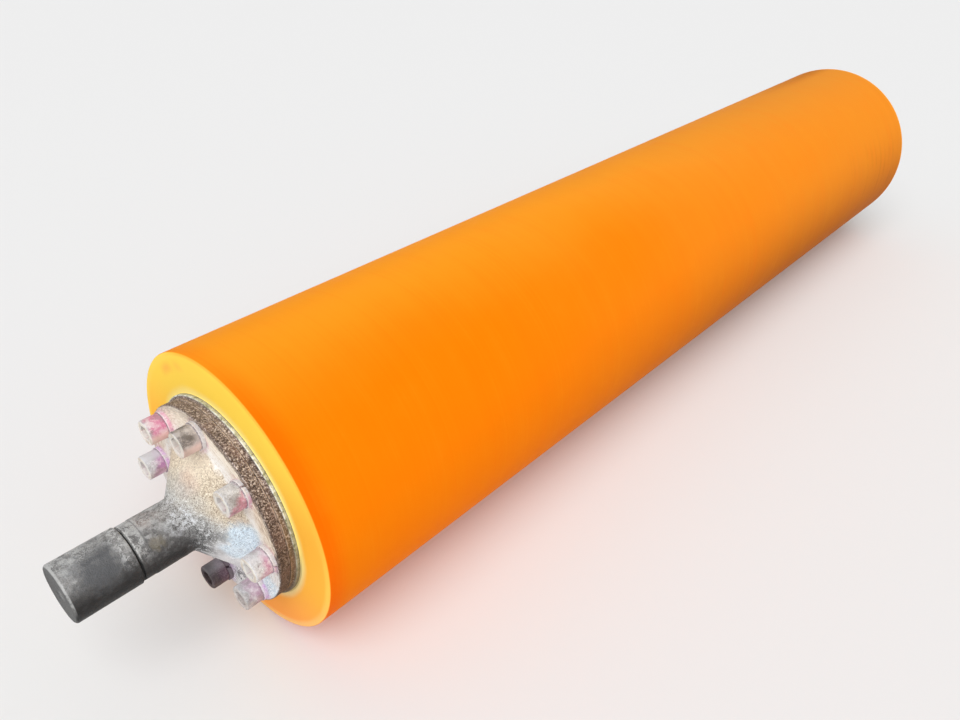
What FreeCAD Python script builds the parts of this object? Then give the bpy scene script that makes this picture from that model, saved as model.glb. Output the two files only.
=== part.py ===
import FreeCAD, Part
import math
import os

# A polyurethane covered roller with a bolted journal at each end.
# Millimetres. The roller turns about X, its middle is the origin and Z is up.

# Cast polyurethane cover
cover_diameter = 210.0
cover_length = 965.0
cover_edge_radius = 1.0       # rounding of the outer edges
cover_lip = 0.5               # small bevel where the cover climbs onto the rim of the core

# Steel core: a tube with a disc welded on each end
core_diameter = 152.0
tube_wall = 8.0
weld_depth = 5.0              # depth of the V groove between tube and disc
weld_half_angle = 35.0
disc_rim_width = 29.0         # rim of the disc, which carries on the tube's outside
disc_proud = 3.0              # how far the rim stands out of the cover
disc_rim_chamfer = 0.6
register_depth = 10.0         # how far the back of the disc reaches into the tube
register_clearance = 0.05     # radial
register_chamfer = 1.0

# Raised seat on the disc and the journal flange that is bolted to it
rim_step = 2.0                # width of the rim left round the seat
seat_height = 3.0
flange_thickness = 8.0
flange_chamfer = 0.8
spigot_wall = 11.5            # steel between the spigot's bore and the screws
spigot_length = 12.0
spigot_clearance = 0.03       # radial
spigot_chamfer = 1.0

# Journal
hub_gap = 3.25                # from the foot of the conical hub to the washers
hub_height = 24.0             # from the flange to the foot of the shank
hub_foot_fillet = 5.0
hub_top_fillet = 4.0
shank_diameter = 38.8
shank_length = 27.0           # from the hub to the turned band
band_step = 0.3               # how far the band lies below the shank
band_length = 7.7
groove_depth = 1.3
groove_width = 1.6
bearing_diameter = 40.0
bearing_length = 42.2
bearing_edge_radius = 2.0     # rounding of the shaft's end
bearing_chamfer = 0.4         # at the groove
centre_diameter = 5.3         # mouth of the lathe centre in the shaft's end
centre_pilot_diameter = 2.5
centre_pilot_depth = 5.5
centre_angle = 60.0

# M12 socket head cap screws on one circle, each with a spring lock washer
screw_count = 8
screw_edge = 11.5             # from the flange's edge to the screw circle
first_screw_angle = -3.8      # degrees from Y towards Z, seen from outside the end
screw_diameter = 12.0
screw_length = 30.0
screw_end_chamfer = 1.2
screw_hole_clearance = 0.75   # radial, in the flange
head_diameter = 18.0
head_height = 12.0
head_chamfer = 1.0
socket_width = 10.0           # across the flats of the hexagon
socket_depth = 6.0
screw_turn = 23.0             # each screw stops this much further round than the last
thread_clearance = 0.05       # radial, in the tapped hole
tapped_runout = 6.0           # tapped hole left below the screw's end
washer_clearance = 0.2        # radial, round the screw
washer_width = 3.55           # from the inside to the outside of the ring
washer_thickness = 3.0
washer_gap = 1.4              # width of the split
washer_gap_slant = 20.0
washer_turn = 67.0            # each split lies this much further round than the last
drill_point_angle = 118.0

# Sizes that follow from the ones above. At an end, x = 0 is the cover's end face and +x points outwards.
origin = FreeCAD.Vector(0, 0, 0)
x_axis = FreeCAD.Vector(1, 0, 0)
cover_radius = cover_diameter / 2
core_radius = core_diameter / 2
tube_bore_radius = core_radius - tube_wall
weld_root_radius = core_radius - weld_depth
weld_half_width = weld_depth * math.tan(math.radians(weld_half_angle))
disc_back = disc_proud - disc_rim_width
seat_face = disc_proud + seat_height
flange_face = seat_face + flange_thickness
flange_radius = core_radius - rim_step
screw_radius = screw_diameter / 2
screw_circle_radius = flange_radius - screw_edge
spigot_radius = screw_circle_radius - screw_radius - spigot_wall
washer_inner_radius = screw_radius + washer_clearance
washer_outer_radius = washer_inner_radius + washer_width
hub_radius = screw_circle_radius - washer_outer_radius - hub_gap
shank_radius = shank_diameter / 2
band_radius = shank_radius - band_step
bearing_radius = bearing_diameter / 2
groove_radius = min(band_radius, bearing_radius) - groove_depth
hub_top = flange_face + hub_height
band_start = hub_top + shank_length
groove_start = band_start + band_length
bearing_start = groove_start + groove_width
shaft_end = bearing_start + bearing_length
head_seat = flange_face + washer_thickness
head_top = head_seat + head_height
screw_tip = head_seat - screw_length


def rounded_corner(before, corner, after, radius):
    # Start, middle and end of the arc that rounds a corner, or the corner itself where it is sharp.
    if radius == 0:
        return corner, None, corner
    to_before = (before - corner).normalize()
    to_after = (after - corner).normalize()
    half_angle = to_before.getAngle(to_after) / 2
    inward = (to_before + to_after).normalize()
    tangent = radius / math.tan(half_angle)
    middle = radius / math.sin(half_angle) - radius
    return corner + to_before * tangent, corner + inward * middle, corner + to_after * tangent


def turned(*corners):
    # Solid turned about X from a closed outline. A corner is (x, radius) or (x, radius, rounding).
    points = [FreeCAD.Vector(corner[0], corner[1], 0) for corner in corners]
    arcs = []
    for index, corner in enumerate(corners):
        rounding = corner[2] if len(corner) > 2 else 0
        following = points[(index + 1) % len(points)]
        arcs.append(rounded_corner(points[index - 1], points[index], following, rounding))
    edges = []
    for index, (start, middle, end) in enumerate(arcs):
        if middle:
            edges.append(Part.Arc(start, middle, end).toShape())
        edges.append(Part.LineSegment(end, arcs[(index + 1) % len(arcs)][0]).toShape())
    return Part.Face(Part.Wire(edges)).revolve(origin, x_axis, 360)


def screw_places():
    # Where the axis of each screw of an end crosses the plane of the cover's end face.
    for index in range(screw_count):
        angle = math.radians(first_screw_angle + index * 360 / screw_count)
        yield FreeCAD.Vector(0, screw_circle_radius * math.cos(angle), screw_circle_radius * math.sin(angle))


def cut_on_screw_circle(solid, tool):
    for place in screw_places():
        solid = solid.cut(tool.translated(place))
    return solid


def polyurethane_cover():
    half = cover_length / 2
    return turned(
        (-half - cover_lip, core_radius),
        (half + cover_lip, core_radius),
        (half, core_radius + cover_lip),
        (half, cover_radius, cover_edge_radius),
        (-half, cover_radius, cover_edge_radius),
        (-half, core_radius + cover_lip),
    )


def core_tube():
    half = cover_length / 2 + disc_back
    return turned(
        (-half, tube_bore_radius),
        (half, tube_bore_radius),
        (half, weld_root_radius),
        (half - weld_half_width, core_radius),
        (-half + weld_half_width, core_radius),
        (-half, weld_root_radius),
    )


def end_weld():
    return turned(
        (disc_back, weld_root_radius),
        (disc_back + weld_half_width, core_radius),
        (disc_back - weld_half_width, core_radius),
    )


def tapped_hole():
    # Drilled hole at the thread's outside, with the drill's point at its bottom.
    radius = screw_radius + thread_clearance
    bottom = screw_tip - tapped_runout
    point = radius / math.tan(math.radians(drill_point_angle / 2))
    return turned((seat_face, 0), (seat_face, radius), (bottom, radius), (bottom - point, 0))


def end_disc():
    back = disc_back - register_depth
    register_radius = tube_bore_radius - register_clearance
    disc = turned(
        (back, spigot_radius),
        (back, register_radius - register_chamfer),
        (back + register_chamfer, register_radius),
        (disc_back, register_radius),
        (disc_back, weld_root_radius),
        (disc_back + weld_half_width, core_radius),
        (disc_proud - disc_rim_chamfer, core_radius),
        (disc_proud, core_radius - disc_rim_chamfer),
        (disc_proud, flange_radius),
        (seat_face, flange_radius),
        (seat_face, spigot_radius),
    )
    return cut_on_screw_circle(disc, tapped_hole())


def clearance_hole():
    # Through hole of the flange.
    radius = screw_radius + screw_hole_clearance
    return turned((seat_face, 0), (seat_face, radius), (flange_face, radius), (flange_face, 0))


def lathe_centre():
    mouth = centre_diameter / 2
    pilot = centre_pilot_diameter / 2
    cone = (mouth - pilot) / math.tan(math.radians(centre_angle / 2))
    bottom = shaft_end - centre_pilot_depth
    point = pilot / math.tan(math.radians(drill_point_angle / 2))
    return turned(
        (shaft_end, 0),
        (shaft_end, mouth),
        (shaft_end - cone, pilot),
        (bottom, pilot),
        (bottom - point, 0),
    )


def journal():
    spigot_end = seat_face - spigot_length
    spigot_fit = spigot_radius - spigot_clearance
    body = turned(
        (spigot_end, 0),
        (spigot_end, spigot_fit - spigot_chamfer),
        (spigot_end + spigot_chamfer, spigot_fit),
        (seat_face, spigot_fit),
        (seat_face, flange_radius - flange_chamfer),
        (seat_face + flange_chamfer, flange_radius),
        (flange_face - flange_chamfer, flange_radius),
        (flange_face, flange_radius - flange_chamfer),
        (flange_face, hub_radius, hub_foot_fillet),
        (hub_top, shank_radius, hub_top_fillet),
        (band_start, shank_radius),
        (band_start, band_radius),
        (groove_start, band_radius),
        (groove_start, groove_radius),
        (bearing_start, groove_radius),
        (bearing_start, bearing_radius - bearing_chamfer),
        (bearing_start + bearing_chamfer, bearing_radius),
        (shaft_end, bearing_radius, bearing_edge_radius),
        (shaft_end, 0),
    )
    return cut_on_screw_circle(body, clearance_hole()).cut(lathe_centre())


def hexagon_socket():
    # Hexagonal recess with a drilled bottom.
    floor = head_top - socket_depth
    corner_radius = socket_width / 2 / math.cos(math.pi / 6)
    corners = []
    for degrees in range(0, 361, 60):
        turn = FreeCAD.Rotation(x_axis, degrees)
        corners.append(turn.multVec(FreeCAD.Vector(floor, corner_radius, 0)))
    hexagon = Part.Face(Part.makePolygon(corners)).extrude(x_axis * socket_depth)
    point = socket_width / 2 / math.tan(math.radians(drill_point_angle / 2))
    bottom = turned((floor, 0), (floor, socket_width / 2), (floor - point, 0))
    return hexagon.fuse(bottom)


def cap_screw():
    head_radius = head_diameter / 2
    body = turned(
        (screw_tip, 0),
        (screw_tip, screw_radius - screw_end_chamfer),
        (screw_tip + screw_end_chamfer, screw_radius),
        (head_seat, screw_radius),
        (head_seat, head_radius),
        (head_top - head_chamfer, head_radius),
        (head_top, head_radius - head_chamfer),
        (head_top, 0),
    )
    return body.cut(hexagon_socket())


def lock_washer():
    # Flat ring with a slanted split through one side.
    ring = turned(
        (flange_face, washer_inner_radius),
        (flange_face, washer_outer_radius),
        (head_seat, washer_outer_radius),
        (head_seat, washer_inner_radius),
    )
    middle = FreeCAD.Vector(flange_face + washer_thickness / 2, washer_outer_radius / 2, 0)
    split = Part.makeBox(washer_thickness * 2, washer_outer_radius, washer_gap)
    split.translate(middle - FreeCAD.Vector(washer_thickness, washer_outer_radius / 2, washer_gap / 2))
    split.rotate(middle, FreeCAD.Vector(0, 1, 0), washer_gap_slant)
    return ring.cut(split)


def placed(shape, place, turn, end):
    # Turn a fastener about its own axis, set it on the screw circle and carry it to its end.
    on_circle = FreeCAD.Placement(place, FreeCAD.Rotation(x_axis, turn))
    moved = shape.copy()
    moved.Placement = end.multiply(on_circle)
    return moved


def end_pieces(name, end):
    # All pieces of one end of the roller, by name.
    pieces = {}
    for piece, shape in (("end_disc", end_disc()), ("end_weld", end_weld()), ("journal", journal())):
        pieces[f"{name}_{piece}"] = placed(shape, origin, 0, end)
    screw = cap_screw()
    washer = lock_washer()
    for index, place in enumerate(screw_places()):
        number = index + 1
        pieces[f"{name}_cap_screw_{number}"] = placed(screw, place, index * screw_turn, end)
        pieces[f"{name}_lock_washer_{number}"] = placed(washer, place, index * washer_turn, end)
    return pieces


half_length = cover_length / 2
turned_round = FreeCAD.Rotation(FreeCAD.Vector(0, 0, 1), 180)
near_end = FreeCAD.Placement(FreeCAD.Vector(-half_length, 0, 0), turned_round)
far_end = FreeCAD.Placement(FreeCAD.Vector(half_length, 0, 0), FreeCAD.Rotation())
roller = {"polyurethane_cover": polyurethane_cover(), "core_tube": core_tube()}
roller.update(end_pieces("near", near_end))
roller.update(end_pieces("far", far_end))

os.makedirs("parts", exist_ok=True)
for name, shape in roller.items():
    shape.exportStep(f"parts/{name}.step")
print(len(roller), "pieces, shaft", 2 * (half_length + shaft_end), "mm long")
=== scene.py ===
import bpy
import bmesh
import math
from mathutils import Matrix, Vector


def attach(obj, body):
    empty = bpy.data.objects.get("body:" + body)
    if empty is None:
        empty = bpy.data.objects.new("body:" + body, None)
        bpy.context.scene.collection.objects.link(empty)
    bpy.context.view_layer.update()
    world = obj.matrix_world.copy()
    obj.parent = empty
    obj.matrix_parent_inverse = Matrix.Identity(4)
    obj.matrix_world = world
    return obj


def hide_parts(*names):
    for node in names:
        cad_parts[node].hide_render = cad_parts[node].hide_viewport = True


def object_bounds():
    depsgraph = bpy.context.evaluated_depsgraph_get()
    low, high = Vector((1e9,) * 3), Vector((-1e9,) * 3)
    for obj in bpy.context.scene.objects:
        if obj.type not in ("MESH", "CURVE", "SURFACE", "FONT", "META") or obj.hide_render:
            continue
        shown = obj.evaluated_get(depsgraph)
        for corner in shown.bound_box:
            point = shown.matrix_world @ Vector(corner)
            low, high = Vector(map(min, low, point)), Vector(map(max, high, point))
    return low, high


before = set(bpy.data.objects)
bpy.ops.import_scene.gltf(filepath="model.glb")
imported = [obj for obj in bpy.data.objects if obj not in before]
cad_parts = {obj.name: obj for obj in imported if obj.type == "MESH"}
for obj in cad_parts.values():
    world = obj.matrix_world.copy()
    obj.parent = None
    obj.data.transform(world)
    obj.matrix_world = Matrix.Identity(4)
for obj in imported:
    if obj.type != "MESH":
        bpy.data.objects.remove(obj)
cadBox = [list(corner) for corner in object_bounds()]
mm = 0.001
print("frame loaded:", len(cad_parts), "nodes")


class Wire:
    # one output of a node; sums written with it add Math nodes to the same tree
    def __init__(self, tree, socket):
        self.tree = tree
        self.socket = socket

    def add(self, kind, settings=None, sockets=None, output=0):
        node = self.tree.nodes.new(kind)
        for key, value in (settings or {}).items():
            if key == "stops":
                self.setStops(node.color_ramp.elements, value)
            else:
                setattr(node, key, value)
        for key, value in (sockets or {}).items():
            for part in value if isinstance(value, list) else [value]:
                self.plug(node.inputs[key], part)
        return Wire(self.tree, node.outputs[output])

    def setStops(self, elements, stops):
        while len(elements) < len(stops):
            elements.new(0.5)
        for element, (position, colour) in zip(elements, stops):
            element.position = position
            element.color = (*colour, 1)

    def plug(self, socket, part):
        if isinstance(part, Wire):
            self.tree.links.new(part.socket, socket)
        elif isinstance(part, tuple) and len(part) == 3 and socket.type == "RGBA":
            socket.default_value = (*part, 1)
        else:
            socket.default_value = part

    def output(self, name):
        return Wire(self.tree, self.socket.node.outputs[name])

    def maths(self, operation, other=0.0):
        return self.join(operation, self, other)

    def join(self, operation, first, second):
        return self.add("ShaderNodeMath", {"operation": operation}, {0: first, 1: second})

    def __add__(self, other):
        return self.maths("ADD", other)

    def __sub__(self, other):
        return self.maths("SUBTRACT", other)

    def __rsub__(self, other):
        return self.join("SUBTRACT", other, self)

    def __mul__(self, other):
        return self.maths("MULTIPLY", other)

    def __truediv__(self, other):
        return self.maths("DIVIDE", other)

    def __rtruediv__(self, other):
        return self.join("DIVIDE", other, self)

    def __pow__(self, other):
        return self.maths("POWER", other)

    def __mod__(self, other):
        return self.maths("MODULO", other)

    def __gt__(self, other):
        return self.maths("GREATER_THAN", other)

    __radd__ = __add__
    __rmul__ = __mul__

    def most(self, other):
        return self.maths("MAXIMUM", other)

    def least(self, other):
        return self.maths("MINIMUM", other)

    def stir(self, noise, amount):    # pushed to and fro by a noise
        return self + (noise - 0.5) * amount

    def rise(self, low, high):    # 0 below low, 1 above high, soft between
        return self.add("ShaderNodeMapRange", {"interpolation_type": "SMOOTHSTEP"},
                        {"Value": self, "From Min": low, "From Max": high})

    def near(self, middle, width):    # 1 at middle, 0 further away than width
        return 1 - (self - middle).maths("ABSOLUTE").rise(0.0, width)


# Geometry Nodes: an outline turned about X, and a shape repeated on the screw circle of both ends

def startTree(name, inputs):
    tree = bpy.data.node_groups.new(name, "GeometryNodeTree")
    face = tree.interface
    face.new_socket("Geometry", in_out="INPUT", socket_type="NodeSocketGeometry")
    for label, kind in inputs.items():
        face.new_socket(label, in_out="INPUT", socket_type="NodeSocket" + kind)
    face.new_socket("Geometry", in_out="OUTPUT", socket_type="NodeSocketGeometry")
    source = tree.nodes.new("NodeGroupInput")
    return tree, {socket.name: Wire(tree, socket) for socket in source.outputs if socket.name}


def endTree(shape, finish):
    shape = shape.add("GeometryNodeRealizeInstances", {}, {"Geometry": shape})
    shape = shape.add("GeometryNodeSetMaterial", {}, {"Geometry": shape, "Material": finish})
    last = shape.tree.nodes.new("NodeGroupOutput")
    shape.tree.links.new(shape.socket, last.inputs["Geometry"])


def makeTurningTree():
    # each point of the outline is one row (x, radius); "sixSided" rows are hexagons, "rough" rows are dented
    tree, given = startTree("turnedOutline", {
        "Columns": "Int", "Sweep": "Float", "Slant": "Float", "Sharp Angle": "Float",
        "Dent Depth": "Float", "Dent Size": "Float", "Seed": "Float", "Finish": "Material"})
    outline = given["Geometry"]
    rows = outline.add("GeometryNodeAttributeDomainSize", {"component": "MESH"}, {0: outline})
    across = given["Columns"] + 1
    grid = outline.add("GeometryNodeMeshGrid", {}, {"Vertices X": rows, "Vertices Y": across})
    index = outline.add("GeometryNodeInputIndex")
    row = ((index + 0.5) / across).maths("FLOOR")
    column = index - row * across

    def onRow(kind, value):
        return outline.add("GeometryNodeSampleIndex", {"data_type": kind, "domain": "POINT"},
                           {"Geometry": outline, "Value": value, "Index": row})

    def named(name):
        return outline.add("GeometryNodeInputNamedAttribute", {"data_type": "FLOAT"}, {"Name": name})

    place = outline.add("GeometryNodeInputPosition")
    x = outline.add("ShaderNodeSeparateXYZ", {}, {0: onRow("FLOAT_VECTOR", place)})
    radius = x.output("Y")
    turn = column / given["Columns"] * given["Sweep"] + x * given["Slant"]
    flat = turn % (math.pi / 3) - math.pi / 6
    hexagon = math.cos(math.pi / 6) / flat.maths("COSINE") - 1
    radius = radius * (1 + onRow("FLOAT", named("sixSided")) * hexagon)
    point = x.add("ShaderNodeCombineXYZ", {}, {
        0: x, 1: radius * turn.maths("COSINE"), 2: radius * turn.maths("SINE")})
    shape = grid.add("GeometryNodeStoreNamedAttribute", {"data_type": "FLOAT", "domain": "POINT"},
                     {"Geometry": grid, "Name": "rough", "Value": onRow("FLOAT", named("rough"))})
    shape = shape.add("GeometryNodeSetPosition", {}, {"Geometry": shape, "Position": point})
    shape = shape.add("GeometryNodeMergeByDistance", {}, {"Geometry": shape, "Distance": 2e-6})
    shape = shape.add("GeometryNodeSetShadeSmooth", {"domain": "FACE"},
                      {"Geometry": shape, "Shade Smooth": True})
    edge = shape.add("GeometryNodeInputMeshEdgeAngle")
    shape = shape.add("GeometryNodeSetShadeSmooth", {"domain": "EDGE"},
                      {"Geometry": shape, "Selection": edge > given["Sharp Angle"], "Shade Smooth": False})
    noise = shape.add("ShaderNodeTexNoise", {"noise_dimensions": "4D"},
                      {"Vector": place, "W": given["Seed"], "Scale": 1 / given["Dent Size"], "Detail": 4.0})
    depth = (noise - 0.5) * given["Dent Depth"] * named("rough")
    offset = shape.add("ShaderNodeVectorMath", {"operation": "SCALE"},
                       {0: shape.add("GeometryNodeInputNormal"), "Scale": depth})
    shape = shape.add("GeometryNodeSetPosition", {}, {"Geometry": shape, "Offset": offset})
    endTree(shape, given["Finish"])
    return tree


def makeCircleTree():
    tree, given = startTree("onScrewCircle", {
        "Count": "Int", "Circle Radius": "Float", "First Angle": "Float", "Turn Step": "Float",
        "Reach": "Float", "Finish": "Material"})
    shape = given["Geometry"]
    index = shape.add("GeometryNodeInputIndex")
    angle = given["First Angle"] + index / given["Count"] * math.tau
    place = shape.add("ShaderNodeCombineXYZ", {}, {
        1: given["Circle Radius"] * angle.maths("COSINE"), 2: given["Circle Radius"] * angle.maths("SINE")})
    points = shape.add("GeometryNodePoints", {}, {"Count": given["Count"], "Position": place})
    points = points.add("GeometryNodeStoreNamedAttribute", {"data_type": "FLOAT", "domain": "POINT"},
                        {"Geometry": points, "Name": "number", "Value": index})
    spin = shape.add("ShaderNodeCombineXYZ", {}, {0: index * given["Turn Step"]})
    ring = points.add("GeometryNodeInstanceOnPoints", {},
                      {"Points": points, "Instance": shape, "Rotation": spin})
    ends = []
    for side in (1, -1):    # the far end, then the same ring turned round for the near end
        shift = ring.add("ShaderNodeCombineXYZ", {}, {0: given["Reach"] * side})
        turned = (0.0, 0.0, 0.0 if side > 0 else math.pi)
        ends.append(ring.add("GeometryNodeTransform", {},
                             {"Geometry": ring, "Translation": shift, "Rotation": turned}))
    endTree(ring.add("GeometryNodeJoinGeometry", {}, {"Geometry": ends}), given["Finish"])
    return tree


def runTree(piece, tree, values):
    modifier = piece.modifiers.new("shape", "NODES")
    modifier.node_group = tree
    for socket in tree.interface.items_tree:
        if socket.in_out == "INPUT" and socket.name in values:
            modifier[socket.identifier] = values[socket.name]
    evaluated = piece.evaluated_get(bpy.context.evaluated_depsgraph_get())
    mesh = bpy.data.meshes.new_from_object(evaluated)
    mesh.materials.clear()    # a grid brings an empty slot of its own
    mesh.materials.append(values["Finish"])
    mesh.polygons.foreach_set("material_index", [0] * len(mesh.polygons))
    piece.modifiers.clear()
    piece.data = mesh


def closeShell(piece, caps=False):
    shell = bmesh.new()
    shell.from_mesh(piece.data)
    if caps:    # the two faces of a split
        bmesh.ops.holes_fill(shell, edges=[edge for edge in shell.edges if edge.is_boundary])
    bmesh.ops.recalc_face_normals(shell, faces=shell.faces)
    shell.to_mesh(piece.data)
    shell.free()


def roundCorner(before, here, after, rounding, parts=8):
    before = (before - here).normalized()
    after = (after - here).normalized()
    half = before.angle(after) / 2
    centre = here + (before + after).normalized() * rounding / math.sin(half)
    start = here + before * rounding / math.tan(half) - centre
    finish = here + after * rounding / math.tan(half) - centre
    return [centre + start.slerp(finish, k / parts).normalized() * rounding for k in range(parts + 1)]


def halves(look, *names):
    return [look[name] / 2 for name in names]


def outlineRows(corners, step, closed=False):
    # corners are (x, radius[, rounding]); rounded corners become arcs and long stretches are divided
    points = [Vector(corner[:2]) for corner in corners]
    rows = []
    for i, corner in enumerate(corners):
        if len(corner) > 2:
            rows += roundCorner(points[i - 1], points[i], points[(i + 1) % len(points)], corner[2])
        else:
            rows.append(points[i])
    if closed:
        rows.append(rows[0])
    filled = [rows[0]]
    for row in rows[1:]:
        start = filled[-1]
        parts = max(1, math.ceil((row - start).length / step))
        filled += [start.lerp(row, k / parts) for k in range(1, parts + 1)]
    return filled


turningTree = makeTurningTree()
circleTree = makeCircleTree()
print("shape trees ready")


def addToScene(name, data):
    item = bpy.data.objects.new(name, data)
    bpy.context.scene.collection.objects.link(item)
    return item


def turnPiece(name, rows, finish, look, mirror=False, shift=0.0, rough=None, sixSided=None, sweep=math.tau,
              slant=0.0, sharp=0.6, seed=0.0, caps=False):
    # rows are in mm along the axis, pushed outwards by shift
    side = -1 if mirror else 1
    mesh = bpy.data.meshes.new(name)
    mesh.from_pydata([(side * (row.x + shift) * mm, row.y * mm, 0) for row in rows],
                     [(i, i + 1) for i in range(len(rows) - 1)], [])
    for label, rule in (("rough", rough), ("sixSided", sixSided)):
        values = mesh.attributes.new(label, "FLOAT", "POINT")
        values.data.foreach_set("value", [rule(row.x, row.y) if rule else 0.0 for row in rows])
    piece = addToScene(name, mesh)
    runTree(piece, turningTree, {
        "Columns": look["columns"], "Sweep": sweep, "Slant": slant, "Sharp Angle": sharp, "Seed": seed,
        "Dent Depth": look["dentDepth"] * mm, "Dent Size": look["dentSize"] * mm, "Finish": finish})
    closeShell(piece, caps)
    return piece


def ontoFrame(piece, slotName, *nodes):
    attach(piece, "root")
    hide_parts(*nodes)
    print(piece.name, len(piece.data.polygons), "faces for", len(nodes), "nodes")


# Finishes. u is the distance outwards from the cover's end face, the same at both ends.
# In a look, a coat is (strength, colour[, blend]), a spot (place in mm, size in mm)
# and a stain (place in mm, size in mm, strength, colour). Places are (u, y, z)

def startFinish(name, gloss, *wanted):
    material = bpy.data.materials.new(name)
    material.use_nodes = True
    tree = material.node_tree
    tree.nodes["Principled BSDF"].inputs["Specular IOR Level"].default_value = gloss
    place = Wire(tree, tree.nodes.new("ShaderNodeTexCoord").outputs["Object"])
    x = place.add("ShaderNodeSeparateXYZ", {}, {0: place})
    y = x.output("Y")
    z = x.output("Z")
    axes = {"place": place, "x": x, "y": y, "z": z, "radius": (y * y + z * z).maths("SQRT"),
            "u": x.maths("ABSOLUTE") - coverLook["length"] / 2 * mm}
    return material, *(axes[label] for label in wanted)


def endFinish(material, wires):
    shader = material.node_tree.nodes["Principled BSDF"]
    for label, wire in wires.items():
        wire.tree.links.new(wire.socket, shader.inputs[label])
    return material


def stored(place, *names):    # values kept on the mesh
    return [place.add("ShaderNodeAttribute", {"attribute_name": name}, {}, "Fac") for name in names]


def grain(place, size, detail=2.0, roughness=0.5, seed=0.0):    # noise with grains about size metres wide
    return place.add("ShaderNodeTexNoise", {"noise_dimensions": "4D"}, {
        "Vector": place, "W": seed, "Scale": 1 / size, "Detail": detail, "Roughness": roughness})


def rings(along, size, seed=0.0):    # lathe marks, lines of about size metres along one coordinate
    return along.add("ShaderNodeTexNoise", {"noise_dimensions": "1D"},
                     {"W": along + seed, "Scale": 1 / size, "Detail": 3.0})


def over(share, top, below, mode="MIX"):
    wire = next(part for part in (share, top, below) if isinstance(part, Wire))
    settings = {"data_type": "RGBA", "blend_type": mode}
    return wire.add("ShaderNodeMix", settings, {0: share, 6: below, 7: top}, 2)


def coat(below, mask, finish):
    strength, colour, *mode = finish
    return over(mask * strength, colour, below, *mode)


def coats(below, look, masks):    # coats of the look, each where its mask is 1
    for name, mask in masks.items():
        below = coat(below, mask, look[name])
    return below


def ramp(share, stops):
    return share.add("ShaderNodeValToRGB", {"stops": stops}, {"Fac": share})


def spot(here, middle, size, ragged):    # round one place, in mm, with a ragged edge
    away = here.add("ShaderNodeVectorMath", {"operation": "DISTANCE"},
                    {0: here, 1: tuple(part * mm for part in middle)}, "Value")
    return (away / (size * mm)).stir(ragged, 1.2).rise(1.1, 0.4)


def stain(below, here, ragged, mark, within=None):
    middle, size, *finish = mark
    mask = spot(here, middle, size, ragged)
    return coat(below, mask * within if within else mask, finish)


def bump(height, depth, strength=1.0, under=None):
    sockets = {"Height": height, "Distance": depth, "Strength": strength}
    if under:
        sockets["Normal"] = under
    return height.add("ShaderNodeBump", {}, sockets)


# Pieces, each with its values, its finish and its shape

coverLook = {
    "diameter": 210, "length": 965, "edge": 1, "lip": 0.5, "lipRounding": 0.8, "bore": 152, "columns": 288,
    "step": 12, "sharp": 0.5, "dentDepth": 0.0, "dentSize": 10, "gloss": 0.012, "roughness": 0.52,
    "markDepth": 0.00007,
    "nearColour": (0.94, 0.213, 0.0012), "farColour": (0.84, 0.262, 0.016),
    "edgeShadeAndLineColour": (0.95, 0.15, 0.0006), "litCrownColour": (0.97, 0.33, 0.014),
    "litFarCrownColour": (0.8, 0.285, 0.028), "shadeAndToolMarkColour": (0.37, 0.09, 0.001),
    "topShade": 0.45, "lowShade": 0.8, "toolMarks": 0.26, "farEdge": 0.5, "darkLines": 0.12,
    "paleLines": 0.1,
    "faceColour": (0.99, 0.655, 0.082), "middleColour": (0.99, 0.472, 0.054),
    "lowColour": (0.96, 0.36, 0.074), "rimColour": (0.97, 0.68, 0.12),
    "lowRimColour": (0.94, 0.64, 0.26), "rimGlow": 0.5, "faceEdge": 0.9,
    "paleColour": (0.98, 0.74, 0.22), "lowPaleColour": (0.9, 0.76, 0.38),
    "grime": (0.75, (0.36, 0.29, 0.13)), "smudge": (0.6, (0.98, 0.4, 0.08)), "smudgeLine": (0.555, 0.832)}


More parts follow.
